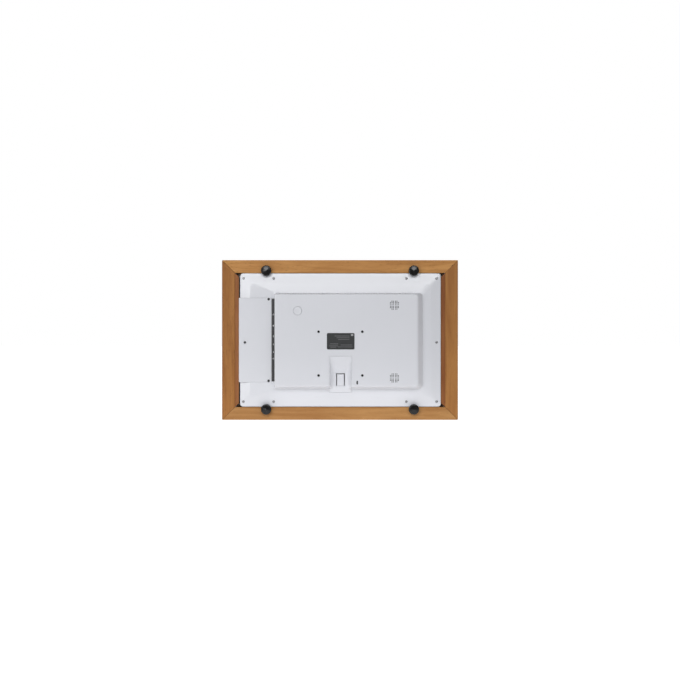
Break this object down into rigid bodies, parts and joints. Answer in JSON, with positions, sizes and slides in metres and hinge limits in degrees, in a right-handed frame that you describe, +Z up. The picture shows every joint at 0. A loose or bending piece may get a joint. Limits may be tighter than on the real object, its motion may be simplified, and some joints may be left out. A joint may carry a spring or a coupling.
{
  "type": "digital photo frame",
  "caption": "Wooden digital photo frame, its white-backed display module clamped in by thumbscrews, with wall-mount holes, a stand socket, side ports and speakers.",
  "frame": {"origin": "middle of the bottom rail's underside, centred on the whole object's width and depth", "axes": "+Z up, screen faces -Y, back faces +Y, +X to the right as the screen is seen"},
  "size_m": [0.545, 0.0674, 0.369],
  "materials": {
    "oak_frame": "satin oiled, straight grain along each member",
    "oak_spacer": "satin oiled, slightly darker, vertical grain",
    "cover_white": "fine moulded texture",
    "socket_white": "smooth moulded, soft gloss",
    "button_white": "fine moulded texture",
    "front_glass": "clear float glass",
    "mat_card": "uncoated card with a cut bevel",
    "housing_black": "fine moulded texture",
    "screen": "dark, faintly glossy",
    "film_white": "diffusing",
    "sheet_steel": "zinc-plated sheet",
    "aluminium": "satin",
    "board_green": "solder mask",
    "strip_dark": "fine moulded texture",
    "port_black": "moulded",
    "port_shell": "nickel-plated",
    "label_black": "printed film",
    "knob_black": "glossy with a fluted edge",
    "washer_black": "matt",
    "insert_brass": "machined",
    "screw_steel": "plated",
    "screw_black": "black zinc",
    "speaker_dark": "pulp cone in a steel basket"
  },
  "bodies": {
    "frame": {"frame_bottom_rail": "oak_frame", "frame_top_rail": "oak_frame", "frame_left_stile": "oak_frame", "frame_right_stile": "oak_frame", "spacer_left": "oak_spacer", "spacer_right": "oak_spacer", "front_glass": "front_glass", "mat_board": "mat_card", "lcd_bezel": "sheet_steel", "lcd_panel": "screen", "diffuser_stack": "film_white", "light_guide": "film_white", "backlight_pan": "aluminium", "led_bar": "board_green", "front_housing": "housing_black", "rear_cover": "cover_white", "side_cover": "cover_white", "chassis_plate": "sheet_steel", "main_board": "board_green", "led_driver_board": "board_green", "button_board": "board_green", "heatsink": "aluminium", "speaker_upper": "speaker_dark", "speaker_lower": "speaker_dark", "io_plate": "strip_dark", "dc_jack": "port_black", "audio_jack": "port_black", "hdmi_port": "port_shell", "usb_port_1": "port_shell", "usb_port_2": "port_shell", "card_slot": "port_shell", "stand_socket": "socket_white", "rating_label": "label_black", "cover_screw_top_1": "screw_steel", "cover_screw_top_2": "screw_steel", "cover_screw_top_3": "screw_steel", "cover_screw_top_4": "screw_steel", "cover_screw_bottom_1": "screw_steel", "cover_screw_bottom_2": "screw_steel", "cover_screw_bottom_3": "screw_steel", "cover_screw_bottom_4": "screw_steel", "cover_screw_side": "screw_steel", "side_screw_upper": "screw_black", "side_screw_lower": "screw_black", "side_screw_edge": "screw_black", "frame_insert_upper_left": "insert_brass", "frame_insert_upper_right": "insert_brass", "frame_insert_lower_left": "insert_brass", "frame_insert_lower_right": "insert_brass"},
    "washer_upper_left": {"knob_washer_upper_left": "washer_black"},
    "washer_upper_right": {"knob_washer_upper_right": "washer_black"},
    "washer_lower_left": {"knob_washer_lower_left": "washer_black"},
    "washer_lower_right": {"knob_washer_lower_right": "washer_black"},
    "knob_upper_left": {"thumb_knob_upper_left": "knob_black"},
    "knob_upper_right": {"thumb_knob_upper_right": "knob_black"},
    "knob_lower_left": {"thumb_knob_lower_left": "knob_black"},
    "knob_lower_right": {"thumb_knob_lower_right": "knob_black"},
    "button": {"power_button": "button_white"},
    "tab": {"release_tab": "socket_white"}
  },
  "joints": [
    {"name": "washer_lift_upper_left", "type": "slide", "parent": "frame", "child": "washer_upper_left", "axis": [0, 1, 0], "range_m": [0, 0.012]},
    {"name": "knob_turn_upper_left", "type": "hinge", "parent": "washer_upper_left", "child": "knob_upper_left", "pos_m": [-0.17, 0.0061, 0.3443], "axis": [0, 1, 0], "range_deg": [0, 4320]},
    {"name": "washer_lift_upper_right", "type": "slide", "parent": "frame", "child": "washer_upper_right", "axis": [0, 1, 0], "range_m": [0, 0.012]},
    {"name": "knob_turn_upper_right", "type": "hinge", "parent": "washer_upper_right", "child": "knob_upper_right", "pos_m": [0.17, 0.0061, 0.3443], "axis": [0, 1, 0], "range_deg": [0, 4320]},
    {"name": "washer_lift_lower_left", "type": "slide", "parent": "frame", "child": "washer_lower_left", "axis": [0, 1, 0], "range_m": [0, 0.012]},
    {"name": "knob_turn_lower_left", "type": "hinge", "parent": "washer_lower_left", "child": "knob_lower_left", "pos_m": [-0.17, 0.0061, 0.0247], "axis": [0, 1, 0], "range_deg": [0, 4320]},
    {"name": "washer_lift_lower_right", "type": "slide", "parent": "frame", "child": "washer_lower_right", "axis": [0, 1, 0], "range_m": [0, 0.012]},
    {"name": "knob_turn_lower_right", "type": "hinge", "parent": "washer_lower_right", "child": "knob_lower_right", "pos_m": [0.17, 0.0061, 0.0247], "axis": [0, 1, 0], "range_deg": [0, 4320]},
    {"name": "power_press", "type": "slide", "parent": "frame", "child": "button", "axis": [0, -1, 0], "range_m": [0, 0.0012], "stiffness_N_per_m": 800},
    {"name": "tab_press", "type": "hinge", "parent": "frame", "child": "tab", "pos_m": [-0.0012, 0.01308, 0.0793], "axis": [1, 0, 0], "range_deg": [0, 6], "stiffness_Nm_per_rad": 1.3}
  ],
  "couplings": [
    {"joint": "washer_lift_upper_left", "follows": "knob_turn_upper_left", "m_per_rad": 0.00015915},
    {"joint": "washer_lift_upper_right", "follows": "knob_turn_upper_right", "m_per_rad": 0.00015915},
    {"joint": "washer_lift_lower_left", "follows": "knob_turn_lower_left", "m_per_rad": 0.00015915},
    {"joint": "washer_lift_lower_right", "follows": "knob_turn_lower_right", "m_per_rad": 0.00015915}
  ]
}
